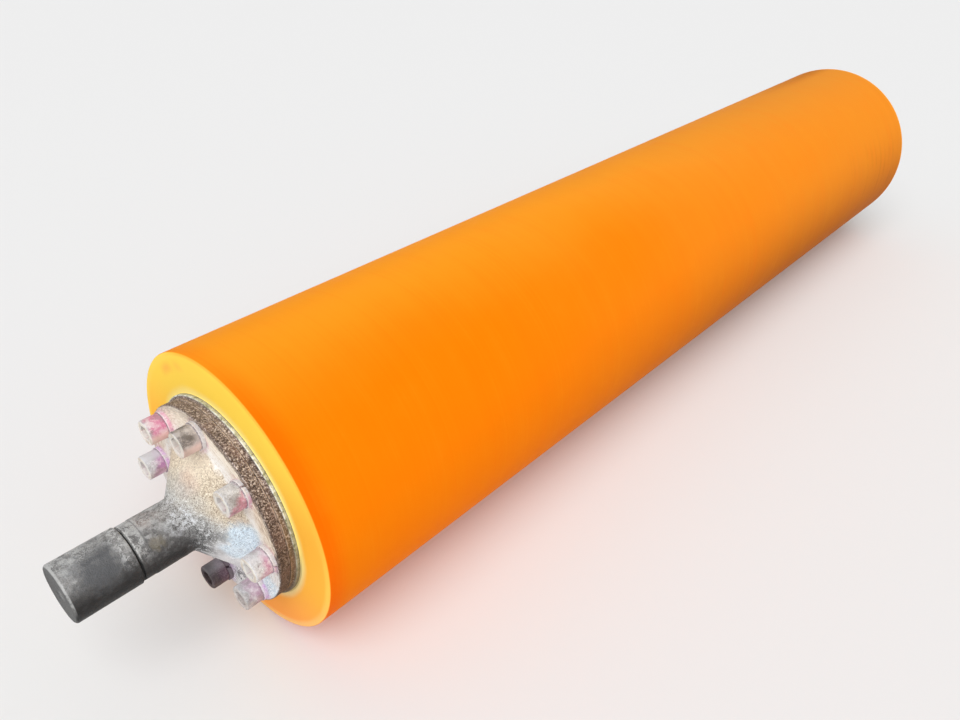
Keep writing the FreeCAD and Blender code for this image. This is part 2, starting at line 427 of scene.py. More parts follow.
def polyurethaneFinish():
    look = coverLook
    material, place, x, y, z, u, radius = startFinish(
        "castPolyurethane", look["gloss"], "place", "x", "y", "z", "u", "radius")
    cloud = grain(place, 0.12, 3.0)
    wisp = grain(place, 0.03, 4.0, 0.6, 2.0)
    fine = grain(place, 0.0015, 2.0)
    ground = rings(x, 0.0022) * 0.6 + rings(x, 0.014, 7.0) * 0.4
    lines = ground * 0.6 + wisp * 0.4
    # side: lighter along the top, a painted highlight; duller towards the far end, with painted shade along
    # its far top edge and low down
    along = x.stir(cloud, 0.3).rise(-0.35, 0.4)
    side = over(along, look["farColour"], look["nearColour"])
    litCrown = y.stir(cloud, 0.03).rise(-0.08, 0.012) * z.rise(0.02, 0.09)
    side = over(litCrown, over(along, look["litFarCrownColour"], look["litCrownColour"]), side)
    # painted shade along the far top edge and low down towards the far end; the tool marks are real, drawn in
    # the same dark colour
    farTopShade = y.rise(0.008, 0.034) * z.rise(0.075, 0.098) * x.rise(0.28, 0.46)
    shade = z.rise(0.06, -0.05) * x.stir(wisp, 0.1).rise(-0.45, 0.25)
    scored = (rings(x, 0.007, 3.0) * 0.6 + wisp * 0.4).rise(0.5, 0.62)    # tool marks left at the far end
    scored = scored * (cloud * 0.4 + wisp * 0.6).rise(0.46, 0.58) * z.rise(0.07, -0.01) * x.rise(0.2, 0.4)
    for mask, strength in ((farTopShade, "topShade"), (shade, "lowShade"), (scored, "toolMarks")):
        side = over(mask * look[strength], look["shadeAndToolMarkColour"], side)
    # painted shade in a band along the near edge, weaker on the top; the same colour draws the dark grinding
    # lines
    side = over(u.rise(-0.02, -0.003) * x.rise(0.1, -0.1) * (0.85 - litCrown * 0.65), look["edgeShadeAndLineColour"], side)
    side = over(u.rise(-0.0045, -0.0025) * x.rise(-0.1, 0.1) * look["farEdge"], look["middleColour"], side)
    side = over(lines.rise(0.46, 0.66) * look["darkLines"], look["edgeShadeAndLineColour"], side)
    side = over(lines.rise(0.5, 0.34) * look["paleLines"], look["litCrownColour"], side)
    # end face: yellow above and orange below, paler round the core, with a smear near its edge
    face = over(z.stir(cloud, 0.03).rise(0.01, 0.079), look["faceColour"], look["middleColour"])
    face = over(z.stir(wisp, 0.02).rise(-0.02, -0.095), look["lowColour"], face)
    # a paler rim near the edge, low down and at the back: painted glow of light through the rounded edge
    glowing = z.rise(0.05, -0.02).most(y.rise(0.025, 0.055))
    rim = over(z.rise(-0.01, -0.085), look["lowRimColour"], look["rimColour"])
    face = over(radius.stir(wisp, 0.002).rise(0.0985, 0.1025) * glowing * look["rimGlow"], rim, face)
    face = over(radius.rise(0.102, 0.1046) * (1 - glowing) * look["faceEdge"], look["middleColour"], face)
    pale = over(z.rise(0.005, -0.04), look["lowPaleColour"], look["paleColour"])
    face = over(radius.stir(wisp, 0.004).rise(0.0825, 0.0768) * (1 - z.rise(0.0, -0.06) * 0.3), pale, face)
    face = coat(face, radius.rise(0.0775, 0.0764) * z.rise(0.005, -0.02), look["grime"])
    upward, sideways = look["smudgeLine"]
    across = z * upward - y * sideways    # along the smear, from the middle of its darkest part
    smear = across.stir(wisp, 0.006).near(0.0, 0.015) + across.near(0.0195, 0.01) * 0.5
    smear = smear * radius.stir(wisp, 0.006).near(0.0948, 0.0062) * z.rise(0.0, 0.02)
    face = coat(face, smear, look["smudge"])
    onFace = u.rise(-0.003, 0.0)
    marks = ground * (1 - onFace) + rings(radius, 0.003) * onFace
    return endFinish(material, {
        "Base Color": over(u.rise(-0.0008, 0.0), face, side),
        "Roughness": (look["roughness"] + (fine - 0.5) * 0.06).stir(cloud, 0.1),
        "Normal": bump(marks * 0.7 + fine * 0.3, look["markDepth"])})


def makeCover():
    look = coverLook
    half, bore, outside = halves(look, "length", "bore", "diameter")
    lip = look["lip"]
    rows = outlineRows([
        (-half - lip, bore), (half + lip, bore), (half, bore + lip, look["lipRounding"]),
        (half, outside, look["edge"]), (-half, outside, look["edge"]),
        (-half, bore + lip, look["lipRounding"])], look["step"], closed=True)
    piece = turnPiece("cover_skin", rows, polyurethaneFinish(), look, sharp=look["sharp"])
    ontoFrame(piece, "polyurethane", "polyurethane_cover")


rustLook = {
    "stops": ((0.36, (0.04, 0.027, 0.022)), (0.46, (0.108, 0.074, 0.061)), (0.54, (0.222, 0.165, 0.143)),
              (0.66, (0.66, 0.57, 0.52))),
    "blush": (0.25, (0.38, 0.235, 0.195)), "calm": (0.15, (0.29, 0.235, 0.195)),
    "lowTint": (0.45, 0.37, 0.265)}


def rustColour(place, z, speck, seed):    # brown scale with tan crumbs, darker towards the bottom
    look = rustLook
    worm = grain(place, 0.0012, 3.0, 0.75, seed)
    blush = grain(place, 0.02, 3.0, 0.5, seed + 3)
    low = z.stir(blush, 0.04).rise(0.06, -0.01)
    dull = z.rise(0.03, -0.01)    # finer and more even towards the bottom
    calm = z.rise(0.064, 0.0745)    # greyer and smoother along the top
    contrast = 1.6 - dull * 0.55 - calm * 0.1
    rust = ramp((worm * 0.75 + speck * 0.25 - 0.5) * contrast + 0.5, look["stops"])
    rust = coat(rust, blush.rise(0.5, 0.64), look["blush"])
    rust = coat(rust, calm, look["calm"])
    return over(low * (0.9 - dull * 0.2), look["lowTint"], rust, "MULTIPLY")


discLook = {
    "rim": 152, "proud": 3, "rimChamfer": 0.6, "seat": 148, "seatHeight": 3, "seatFillet": 0.3,
    "rimWidth": 29, "bore": 90, "weldDepth": 5, "weldHalf": 3.5, "register": 135.9, "registerDepth": 10,
    "registerChamfer": 1, "columns": 192, "step": 2.0, "dentDepth": 0.35, "dentSize": 3, "nearSeed": 2.0,
    "farSeed": 6.0, "rustSeed": 8.0, "gloss": 0.3, "pitDepth": 0.0005,
    "ringColour": (0.48, 0.475, 0.335), "lowColour": (0.2, 0.16, 0.105), "glintColour": (0.9, 0.9, 0.84),
    "paleMottle": (0.65, (0.8, 0.83, 0.78)), "darkMottle": (0.75, (0.16, 0.165, 0.08)),
    "pits": (0.7, (0.13, 0.12, 0.07)), "root": (0.6, (0.105, 0.11, 0.075)), "warmTint": (0.085, 0.055, 0.018),
    "topTint": (0.7, (0.08, 0.064, 0.05), "ADD"), "seam": (0.5, (0.6, 0.5, 0.44))}


def coreSteelFinish():
    look = discLook
    material, place, z, u, radius = startFinish(
        "weatheredCoreSteel", look["gloss"], "place", "z", "u", "radius")
    speck = grain(place, 0.0016, 3.0, 0.7)
    patch = grain(place, 0.012, 3.0, 0.6, 3.0)
    mottle = grain(place, 0.004, 3.0, 0.6, 6.0)
    # olive ring round the disc, with a painted highlight along its edge
    ring = over(z.stir(patch, 0.05).rise(0.035, -0.045), look["lowColour"], look["ringColour"])
    ring = coats(ring, look, {
        "paleMottle": mottle.rise(0.52, 0.62) * z.rise(-0.03, 0.02),
        "darkMottle": mottle.rise(0.47, 0.36),
        "pits": speck.rise(0.52, 0.66),
        "root": u.stir(patch, 0.001).near(0.0006, 0.0009)})
    # painted highlight on the rim's chamfer edge, broken up, on the upper half
    glint = u.rise(0.0021, 0.0026) * (patch * 0.4 + mottle * 0.6).rise(0.43, 0.53) * z.rise(-0.02, 0.03)
    ring = over(glint * (0.75 - z.rise(0.062, 0.073) * 0.4), look["glintColour"], ring)
    # rusty seat, with a broken pale line where it meets the journal's flange: wear, and painted light over
    # the shade of the groove between them
    rusty = u.stir(speck, 0.001).rise(0.003, 0.0034).most(radius.rise(0.0754, 0.075))
    rust = rustColour(place, z, speck, look["rustSeed"])
    rust = over(z.rise(0.045, 0.018) * (1 - z.rise(0.0, -0.05) * 0.5), look["warmTint"], rust, "ADD")
    rust = coat(rust, z.rise(0.06, 0.068), look["topTint"])
    seam = u.rise(0.005, 0.0058) * (patch * 0.5 + mottle * 0.5).rise(0.45, 0.54)
    rust = coat(rust, seam * z.rise(-0.04, 0.01), look["seam"])
    return endFinish(material, {
        "Base Color": over(rusty, rust, ring), "Roughness": 0.55 + speck * 0.3, "Metallic": (1 - rusty) * 0.2,
        "Normal": bump(speck * 0.6 + patch * 0.4, look["pitDepth"])})


def makeDiscs():
    look = discLook
    rim, seat, bore, register = halves(look, "rim", "seat", "bore", "register")
    face = look["proud"] + look["seatHeight"]
    weld = look["proud"] - look["rimWidth"]
    back = weld - look["registerDepth"]
    rows = outlineRows([
        (back, bore), (back, register - look["registerChamfer"]), (back + look["registerChamfer"], register),
        (weld, register), (weld, rim - look["weldDepth"]), (weld + look["weldHalf"], rim),
        (look["proud"], rim, look["rimChamfer"]), (look["proud"], seat, look["seatFillet"]), (face, seat),
        (face, bore)], look["step"], closed=True)
    finish = coreSteelFinish()
    for end in ("near", "far"):
        piece = turnPiece(end + "_disc_rim", rows, finish, look, end == "near", coverLook["length"] / 2,
                          rough=lambda x, r: 1.0 if x > 0 and r > seat - 0.1 else 0.0,
                          seed=look[end + "Seed"])
        ontoFrame(piece, "core_steel", end + "_end_disc")


journalLook = {
    "spigot": 89.94, "spigotEnd": -6, "spigotChamfer": 1, "flange": 148, "flangeBack": 6, "flangeFace": 14,
    "flangeChamfer": 0.8, "hubFoot": 99, "footFillet": 5, "hubTop": 38, "topFillet": 4, "shank": 38.8,
    "bandStart": 65, "band": 38.2, "grooveStart": 72.7, "groove": 35.6, "seatStart": 74.3, "seat": 40,
    "bandFillet": 0.15, "bandRounding": 0.1, "grooveRounding": 0.2, "grooveFillet": 0.3,
    "seatChamfer": 0.4, "seatRounding": 0.3, "shaftEnd": 116.5, "endRounding": 2, "centre": 5.3,
    "centreHalfAngle": 30, "pilot": 2.5, "pilotDepth": 5.5, "drillHalfAngle": 59, "columns": 180,
    "step": 1.1, "dentDepth": 0.9, "dentSize": 5.0, "seed": 4.0, "forged": 0.9, "rusted": 0.35,
    "turned": 0.1, "rustSeed": 0.0, "gloss": 0.3, "pitDepth": 0.0006, "latheDepth": 0.00012,
    # hub
    "sandStops": ((0.35, (0.25, 0.19, 0.14)), (0.44, (0.52, 0.42, 0.31)), (0.53, (0.73, 0.615, 0.465)),
                  (0.64, (0.97, 0.9, 0.74))),
    "frostStops": ((0.35, (0.28, 0.29, 0.32)), (0.44, (0.51, 0.6, 0.68)), (0.54, (0.68, 0.8, 0.89)),
                   (0.64, (0.9, 0.97, 1.0))),
    "chalkStops": ((0.35, (0.24, 0.225, 0.21)), (0.44, (0.47, 0.455, 0.43)), (0.54, (0.68, 0.665, 0.63)),
                   (0.64, (0.95, 0.94, 0.91))),
    "blush": (0.4, (0.72, 0.5, 0.41)), "hubShade": (0.6, (0.76, 0.77, 0.78), "MULTIPLY"),
    "cream": (0.4, (0.96, 0.86, 0.7)), "rootShade": (0.8, (0.8, 0.81, 0.82), "MULTIPLY"),
    "lilacColour": (0.83, 0.81, 0.85), "upperBlue": ((19, -44, 2), 16), "lowerBlue": ((22, -37, -11), 12),
    # flange
    "powderStops": ((0.34, (0.52, 0.435, 0.36)), (0.44, (0.86, 0.79, 0.71)), (0.52, (0.97, 0.94, 0.895)),
                    (0.62, (0.98, 0.975, 0.96))),
    "tanColour": (0.62, 0.5, 0.39), "lowGrey": (0.5, (0.5, 0.48, 0.54)),
    "lowPits": (0.6, (0.11, 0.105, 0.11)), "lowFrost": ((14, -57, -37), 15),
    "haze": ((14, -5, -50), 13, 0.5, (0.6, 0.47, 0.69)), "pitted": ((14, -21, -52), 19),
    "pittedPale": (0.6, (0.95, 0.94, 0.95)), "pittedDark": (0.8, (0.06, 0.057, 0.062)),
    "pinkSpecks": ((14, 33, 54), 15, 0.6, (0.98, 0.9, 0.89)), "bareLines": (0.85, (0.5, 0.385, 0.3)),
    "roseColour": (0.74, 0.38, 0.46), "mauveColour": (0.66, 0.54, 0.7), "lowDye": (0.7, (0.6, 0.4, 0.72)),
    "pinkStain": ((14, -4, 52), 7, 0.55, (0.93, 0.62, 0.67)), "whiteLineColour": (0.98, 0.97, 0.955),
    "beige": (0.9, (0.97, 0.89, 0.78), "MULTIPLY"), "seam": (0.7, (0.68, 0.56, 0.51)),
    # shaft
    "darkColour": (0.036, 0.034, 0.033), "litTopColour": (0.37, 0.366, 0.36),
    "steelStops": ((0.36, (0.52, 0.52, 0.53)), (0.5, (0.76, 0.76, 0.77)), (0.64, (1, 1, 1))),
    "paleFlakeColour": (0.58, 0.585, 0.59), "darkFlakeColour": (0.06, 0.059, 0.06),
    "brownCloud": (0.55, (0.33, 0.245, 0.195)), "dustPatchColour": (0.5, 0.51, 0.51),
    "shaftStains": (
        ((107, -3, 19.7), 8, 0.65, (0.54, 0.555, 0.565)), ((78, -9, 17.9), 7, 0.5, (0.47, 0.46, 0.44)),
        ((93, -12, 16.0), 19, 0.8, (0.12, 0.124, 0.132)), ((59, 1, 19.4), 10, 0.6, (0.4, 0.3, 0.265)),
        ((60, -16, 11.0), 6, 0.45, (0.22, 0.185, 0.12)), ((47, -13, 14.4), 8, 0.6, (0.52, 0.535, 0.55))),
    "darkStain": ((94, -13, 15.0), 15, 0.65, (0.085, 0.088, 0.095)), "ridge": (0.8, (0.58, 0.585, 0.58)),
    "bellyShade": (0.8, (0.36, 0.36, 0.36), "MULTIPLY"), "collar": (0.65, (0.64, 0.645, 0.65)),
    "bandWearAndHighlight": (0.65, (0.53, 0.535, 0.53)), "bandLine": (0.5, (0.05, 0.048, 0.046)),
    "bandEdge": (0.8, (0.72, 0.72, 0.71)), "grooveShadeColour": (0.012, 0.012, 0.011),
    "endColour": (0.084, 0.084, 0.082), "endShadeColour": (0.054, 0.054, 0.054),
    "endScratch": ((116.5, -7, 5), 5, 0.7, (0.34, 0.34, 0.335)), "endEdgeHighlight": (0.75, (0.5, 0.5, 0.49)),
    "centreWear": (0.7, (0.16, 0.16, 0.158)), "shaftPits": (0.35, (0.03, 0.029, 0.028)),
    # crumbs between hub and shank
    "ashStops": ((0.36, (0.14, 0.138, 0.135)), (0.46, (0.32, 0.316, 0.308)), (0.55, (0.48, 0.478, 0.47)),
                 (0.66, (0.84, 0.84, 0.83))),
    "cinderStops": ((0.36, (0.022, 0.021, 0.02)), (0.46, (0.075, 0.073, 0.072)),
                    (0.56, (0.175, 0.174, 0.175)), (0.67, (0.56, 0.565, 0.57))),
    "paleCrumbs": (0.75, (0.7, 0.71, 0.72)), "darkCrumbs": (0.75, (0.05, 0.05, 0.048)),
    "scab": ((41, -12, 15), 11), "paleScab": (0.65, (0.64, 0.665, 0.71)),
    "darkScab": (0.65, (0.05, 0.05, 0.052))}


def journalFinish():
    look = journalLook
    material, place, x, y, z, u, radius = startFinish(
        "weatheredJournal", look["gloss"], "place", "x", "y", "z", "u", "radius")
    here = u.add("ShaderNodeCombineXYZ", {}, {0: u, 1: y, 2: z})
    fine = grain(place, 0.0007, 2.0, 0.6)
    speck = grain(place, 0.0015, 3.0, 0.7, 1.0)
    mottle = grain(place, 0.0042, 4.0, 0.65, 8.0)
    patch = grain(place, 0.01, 4.0, 0.6, 2.0)
    cloud = grain(place, 0.035, 3.0, 0.5, 5.0)
    sandy = (fine * 0.55 + speck * 0.45 - 0.5) * 1.25 + 0.5
    sand, frost, chalk, ash, cinder = (
        ramp(sandy, look[kind + "Stops"]) for kind in ("sand", "frost", "chalk", "ash", "cinder"))
    # hub: sand coloured above, frosted with pale blue and lilac powder below, with painted shade on its front
    # and near the shank and painted light on its upper side
    hub = coats(sand, look, {
        "blush": cloud.rise(0.48, 0.62),
        "hubShade": y.rise(0.004, -0.036),
        # cream: painted light on the upper side, lifting a screw's shadow
        "cream": z.stir(patch, 0.02).rise(0.03, 0.044) * y.rise(-0.03, -0.005)})
    climb = z.most(0.0).least(0.02)    # the hub's finish reaches further out on the upper side
    hub = over((u - climb * 0.5).stir(patch, 0.01).rise(0.013, 0.027) * 0.8, chalk, hub)
    hub = coat(hub, u.rise(0.024, 0.032) * z.rise(0.004, 0.014), look["rootShade"])
    lilac = over(0.5, look["lilacColour"], chalk)
    hub = over(z.stir(cloud, 0.02).stir(speck, 0.02).rise(0.008, -0.012), lilac, hub)
    drift = patch * 0.8 + cloud * 0.7 + speck * 0.4 - 0.45
    bluish = spot(here, *look["upperBlue"], drift).most(spot(here, *look["lowerBlue"], drift) * 0.85)
    hub = over(bluish, frost, hub)
    # flange: white powder in turned streaks, browner above, grey and pitted below
    around = place.add("ShaderNodeCombineXYZ", {}, {0: radius * 900, 1: y / radius * 6, 2: z / radius * 6})
    streak, scored = (
        around.add("ShaderNodeTexNoise", {}, {"Vector": around, "Scale": scale, "Detail": detail})
        for scale, detail in ((1.0, 3.0), (1.9, 2.0)))
    flange = ramp(streak * 0.45 + sandy * 0.55, look["powderStops"])
    outer = radius.rise(0.056, 0.066)
    flange = over(z.stir(cloud, 0.03).near(0.02, 0.026) * (0.15 + outer * 0.5), look["tanColour"], flange)
    sanded = z.stir(patch, 0.02).rise(0.04, 0.062) * patch.rise(0.36, 0.54) * y.rise(-0.012, 0.01)
    flange = over(sanded * 0.25, sand, flange)
    flange = coats(flange, look, {
        "lowGrey": z.stir(patch, 0.03).rise(-0.01, -0.045),
        "lowPits": (1 - sandy).rise(0.5, 0.6) * z.rise(-0.01, -0.045)})
    flange = over(spot(here, *look["lowFrost"], patch) * 0.85, frost, flange)
    flange = stain(flange, here, patch, look["haze"])
    pitted = spot(here, *look["pitted"], patch)
    flange = coats(flange, look, {
        "pittedPale": pitted * speck.rise(0.44, 0.54),
        "pittedDark": pitted * (mottle * 0.5 + fine * 0.5).rise(0.53, 0.47)})
    flange = over(bluish * 0.8, frost, flange)
    flange = stain(flange, here, patch, look["pinkSpecks"], speck.rise(0.42, 0.54))
    bare = outer * z.rise(-0.032, -0.006) * (1 - z.rise(0.04, 0.054) * 0.85)
    flange = coat(flange, scored.rise(0.5, 0.58) * bare, look["bareLines"])
    # dye round the washers
    fold = z.maths("ARCTAN2", y * x.maths("SIGN")) + math.radians(-screwLook["firstAngle"])
    fold = fold.maths("PINGPONG", math.pi / screwLook["count"])
    circle = screwLook["circle"] / 2 * mm
    away = (radius * radius + circle ** 2 - radius * fold.maths("COSINE") * (2 * circle)).maths("SQRT")
    dye = away.stir(patch, 0.006).near(0.01, 0.0038) * patch.rise(0.38, 0.6)
    dyeColour = over(cloud, look["roseColour"], look["mauveColour"])
    dyeColour = coat(dyeColour, z.rise(0.005, -0.03), look["lowDye"])
    flange = over(dye * 0.7, dyeColour, flange)
    flange = stain(flange, here, speck, look["pinkStain"])
    # rust creeps in from the flange's edge
    worn = radius.stir(patch, 0.012).stir(streak, 0.01).stir(speck, 0.006) - z.rise(0.045, 0.02) * 0.0022
    worn = worn.rise(0.0675, 0.0705) * z.rise(-0.03, -0.008) * (1 - y.rise(-0.012, 0.01) * 0.6)
    rust = rustColour(place, z, speck, look["rustSeed"])
    flange = over(worn * 0.95, rust, flange)
    flange = over(scored.rise(0.45, 0.38) * outer * (0.8 - worn * 0.65), look["whiteLineColour"], flange)
    flange = coat(flange, radius.rise(0.052, 0.067) * z.rise(-0.02, 0.01), look["beige"])
    foot = radius.stir(patch, 0.012).stir(speck, 0.006) + z.rise(0.015, 0.035) * 0.0015
    face = over(foot.rise(0.0475, 0.0535), flange, hub)
    # shaft: painted shade below and painted light on top, with flakes and stains
    shank = u.rise(0.082, 0.066)
    height = z.stir(patch, 0.005)
    slow = ((height + 0.0045) / 0.024).most(0.0) ** 1.6
    lit = height.rise(-0.002, 0.0185) ** 1.9 * (1 - shank) + slow * shank
    steel = over(lit, look["litTopColour"], look["darkColour"])
    steel = over(0.9, ramp(mottle * 0.5 + fine * 0.5, look["steelStops"]), steel, "MULTIPLY")
    broken = place.add("ShaderNodeVectorMath", {"operation": "MULTIPLY_ADD"}, {
        0: speck.output("Color"), 1: (0.003, 0.003, 0.003), 2: place})
    flake = broken.add("ShaderNodeTexVoronoi", {}, {"Vector": broken, "Scale": 480.0}, "Color")
    flake = flake.add("ShaderNodeSeparateColor", {}, {0: flake})
    steel = over(flake.rise(0.5, 0.95) * lit * (0.2 + shank * 0.25), look["paleFlakeColour"], steel)
    steel = over(flake.rise(0.45, 0.05) * (0.25 + shank * 0.2), look["darkFlakeColour"], steel)
    steel = coat(steel, cloud.rise(0.46, 0.6) * shank * lit, look["brownCloud"])
    dusty = (patch * 0.5 + mottle * 0.5).rise(0.53, 0.62) * lit
    steel = over(dusty * (0.15 + shank * 0.4), look["dustPatchColour"], steel)
    for mark in look["shaftStains"]:
        steel = stain(steel, here, patch, mark, mottle.rise(0.36, 0.56))
    steel = stain(steel, here, patch, look["darkStain"])
    # pale marks along its top, on the band and beside the groove, partly scuffs and partly painted highlight,
    # kept to the upper side; painted shade along its underside
    scuffAndHighlight = (mottle * 0.6 + fine * 0.4).rise(0.47, 0.55)
    ridge = y.rise(-0.008, 0.001) * z.rise(0.01, 0.018) * (1 - u.near(0.089, 0.012) * 0.6)
    high = z.rise(0.004, 0.013)
    steel = coats(steel, look, {
        "ridge": ridge * scuffAndHighlight,
        "bellyShade": z.rise(0.003, -0.007),
        "collar": u.near(0.0785, 0.0065) * high * scuffAndHighlight,
        "bandWearAndHighlight": u.near(0.0689, 0.004).rise(0.0, 0.3) * high * scuffAndHighlight,
        "bandLine": u.near(0.065, 0.0006) * high * mottle.rise(0.4, 0.52),
        "bandEdge": u.near(0.0722, 0.0008) * high * speck.rise(0.38, 0.54)})
    # painted shade in the groove
    steel = over(u.near(0.0737, 0.0008).rise(0.0, 0.5), look["grooveShadeColour"], steel)
    # end of the shaft, with painted shade towards its upper back and a painted highlight along its upper
    # rounded edge
    ended = (y + z * 0.5).stir(patch, 0.012).rise(0.006, -0.012)
    steel = over(u.rise(0.1158, 0.1163) * 0.92, over(ended, look["endColour"], look["endShadeColour"]), steel)
    steel = stain(steel, here, mottle, look["endScratch"], speck.rise(0.44, 0.56))
    edge = u.near(0.1156, 0.0011).rise(0.0, 0.7) * radius.rise(0.0176, 0.0184) * mottle.rise(0.3, 0.56)
    steel = coats(steel, look, {
        "endEdgeHighlight": edge * (z - y * 0.3).rise(-0.001, 0.013),
        "centreWear": radius.rise(0.0029, 0.0024) * u.rise(0.1, 0.11),
        "shaftPits": (1 - fine).rise(0.58, 0.72)})
    # the two finishes break up into grey crumbs where the hub runs into the shank
    crust = mottle * 0.6 + sandy * 0.4
    crumbs = coats(over(z.rise(-0.008, 0.02), ash, cinder), look, {
        "paleCrumbs": crust.rise(0.52, 0.57), "darkCrumbs": crust.rise(0.46, 0.41)})
    ragged = (speck - 0.5) * 0.014 + (fine - 0.5) * 0.01 + (patch - 0.5) * 0.012
    upper = climb * climb * 25 - y.rise(-0.01, -0.026) * 0.003
    beneath = z.rise(0.006, -0.006) * 0.0048    # the powder reaches further out on the underside
    colour = over((u - upper - beneath + ragged).rise(0.0235, 0.033), crumbs, face)
    colour = over((u - upper * 0.6 + ragged).rise(0.035, 0.048), steel, colour)
    scab = spot(here, *look["scab"], patch)    # bluish white crust at the root of the shank
    flecks = mottle * 0.35 + sandy * 0.65
    colour = coats(colour, look, {
        "paleScab": scab * flecks.rise(0.5, 0.58), "darkScab": scab * flecks.rise(0.46, 0.38)})
    # rusty rim, with a faint pale line where it meets the seat: wear, and painted light over the shade of the
    # groove there
    seam = u.stir(speck, 0.001).rise(0.0076, 0.0065) * (patch * 0.5 + mottle * 0.5).rise(0.44, 0.53)
    rust = coat(rust, seam * z.rise(-0.04, 0.01), look["seam"])
    colour = over(radius.stir(speck, 0.002).rise(0.0728, 0.0738), rust, colour)
    shaft = u.rise(0.034, 0.046)
    return endFinish(material, {
        "Base Color": colour,
        "Roughness": (0.74 - shaft * 0.24).stir(speck, 0.25).stir(patch, 0.15),
        "Metallic": shaft * 0.35,
        "Normal": bump(rings(u, 0.0007) * shaft, look["latheDepth"], 0.6,
                       bump(sandy, look["pitDepth"], 0.9))})


def makeJournals():
    look = journalLook
    spigot, flange, foot, shank, band, groove, seat, mouth, pilot = halves(
        look, "spigot", "flange", "hubFoot", "shank", "band", "groove", "seat", "centre", "pilot")
    back = look["flangeBack"]
    face = look["flangeFace"]
    chamfer = look["flangeChamfer"]
    end = look["shaftEnd"]
    cone = (mouth - pilot) / math.tan(math.radians(look["centreHalfAngle"]))
    bottom = end - look["pilotDepth"]
    tip = pilot / math.tan(math.radians(look["drillHalfAngle"]))
    rows = outlineRows([
        (look["spigotEnd"], 0), (look["spigotEnd"], spigot - look["spigotChamfer"]),
        (look["spigotEnd"] + look["spigotChamfer"], spigot), (back, spigot), (back, flange - chamfer),
        (back + chamfer, flange), (face, flange, chamfer), (face, foot, look["footFillet"]),
        (look["hubTop"], shank, look["topFillet"]), (look["bandStart"], shank, look["bandFillet"]),
        (look["bandStart"], band, look["bandRounding"]),
        (look["grooveStart"], band, look["grooveRounding"]),
        (look["grooveStart"], groove, look["grooveFillet"]),
        (look["seatStart"], groove, look["grooveFillet"]),
        (look["seatStart"], seat - look["seatChamfer"]),
        (look["seatStart"] + look["seatChamfer"], seat, look["seatRounding"]),
        (end, seat, look["endRounding"]), (end, mouth), (end - cone, pilot), (bottom, pilot),
        (bottom - tip, 0)], look["step"])

    def rough(x, r):    # rough from the flange outwards, turned smooth beyond the shank
        if x < back + 0.5 or r < mouth + 1:
            return 0.0
        if x > look["bandStart"] - 1:
            return look["turned"]
        return look["rusted"] if r > flange - 0.5 or x > look["hubTop"] + 8 else look["forged"]

    finish = journalFinish()
    for name in ("near", "far"):
        piece = turnPiece(name + "_journal_body", rows, finish, look, name == "near", coverLook["length"] / 2,
                          rough=rough, seed=look["seed"])
        ontoFrame(piece, "journal_steel", name + "_journal")


screwLook = {
    "count": 8, "circle": 125, "firstAngle": -3.8, "turnStep": 23, "thread": 12, "length": 30,
    "tipChamfer": 1.2, "head": 18, "height": 12, "headFillet": 0.4, "edge": 1.0, "socket": 10,
    "socketDepth": 6, "mouth": 0.3, "mouthSpread": 1.2, "drillHalfAngle": 59, "seat": 17, "columns": 48,
    "step": 4.0, "sharp": 0.7, "dentDepth": 0.25, "dentSize": 3, "gloss": 0.35, "pitDepth": 0.0007,
    "marks": {    # one value for each screw of the circle
        "stain": [0.72, 0.85, 0.4, 1.15, 0.9, 0.5, 0.5, 0.48],    # dye left on it
        "hue": [0.32, 0.0, 0.2, 0.15, 0.95, 0.6, 0.8, 0.55],    # rose to magenta
        "tone": [0.88, 0.74, 0.24, 0.85, 0.92, 0.5, 0.03, 0.58],    # dark to pale
        "under": [0.4, 0.9, 0.9, 0.0, 0.3, 0.0, 0.0, -0.1],    # dye kept to its lower side
        "cap": [0.9, 0.9, 0.85, 0.95, 0.8, 0.5, 0.0, 0.25],    # powder on its top
        "bounce": [0.0, 0.0, 0.9, 0.8, 0.3, 0.0, 0.06, 0.2],    # painted warm light bounced onto its lower side
        "frost": [0.4, 0.1, 0.1, 0.1, 0.8, 0.0, 0.3, 0.2],    # bluish dust and a painted highlight on its upper side
        "ring": [0.5, 0.68, 0.38, 0.92, 0.85, 0.5, 0.6, 0.88]},    # dye on its washer
    "brownStops": ((0.36, (0.062, 0.044, 0.034)), (0.5, (0.195, 0.13, 0.094)), (0.64, (0.43, 0.33, 0.26))),
    "purpleStops": ((0.36, (0.024, 0.011, 0.013)), (0.5, (0.058, 0.028, 0.034)),
                    (0.64, (0.18, 0.115, 0.135))),
    "paleStops": ((0.34, (0.26, 0.245, 0.24)), (0.44, (0.52, 0.51, 0.515)), (0.54, (0.68, 0.68, 0.7)),
                  (0.66, (0.9, 0.9, 0.9))),
    "roseColour": (0.66, 0.215, 0.31), "magentaColour": (0.5, 0.16, 0.45),
    "dyeSpecks": (0.55, (0.86, 0.64, 0.7)), "paleBlotch": (0.4, (0.86, 0.84, 0.83)),
    "darkBlotch": (0.4, (0.2, 0.16, 0.14)), "darkHalf": (0.5, (0.085, 0.07, 0.056)),
    "paleHalf": (0.6, (0.66, 0.6, 0.58)), "skirt": (0.8, (0.78, 0.68, 0.64)),
    "frostColours": ((0.54, 0.53, 0.56), (0.72, 0.74, 0.79)), "bounceLight": (0.85, (0.9, 0.66, 0.58)),
    "darkTop": (0.5, (0.035, 0.028, 0.03)), "creamColour": (0.88, 0.84, 0.76),
    "creamStain": (0.7, (0.56, 0.45, 0.34)), "socketColours": ((0.58, 0.56, 0.52), (0.9, 0.88, 0.84))}


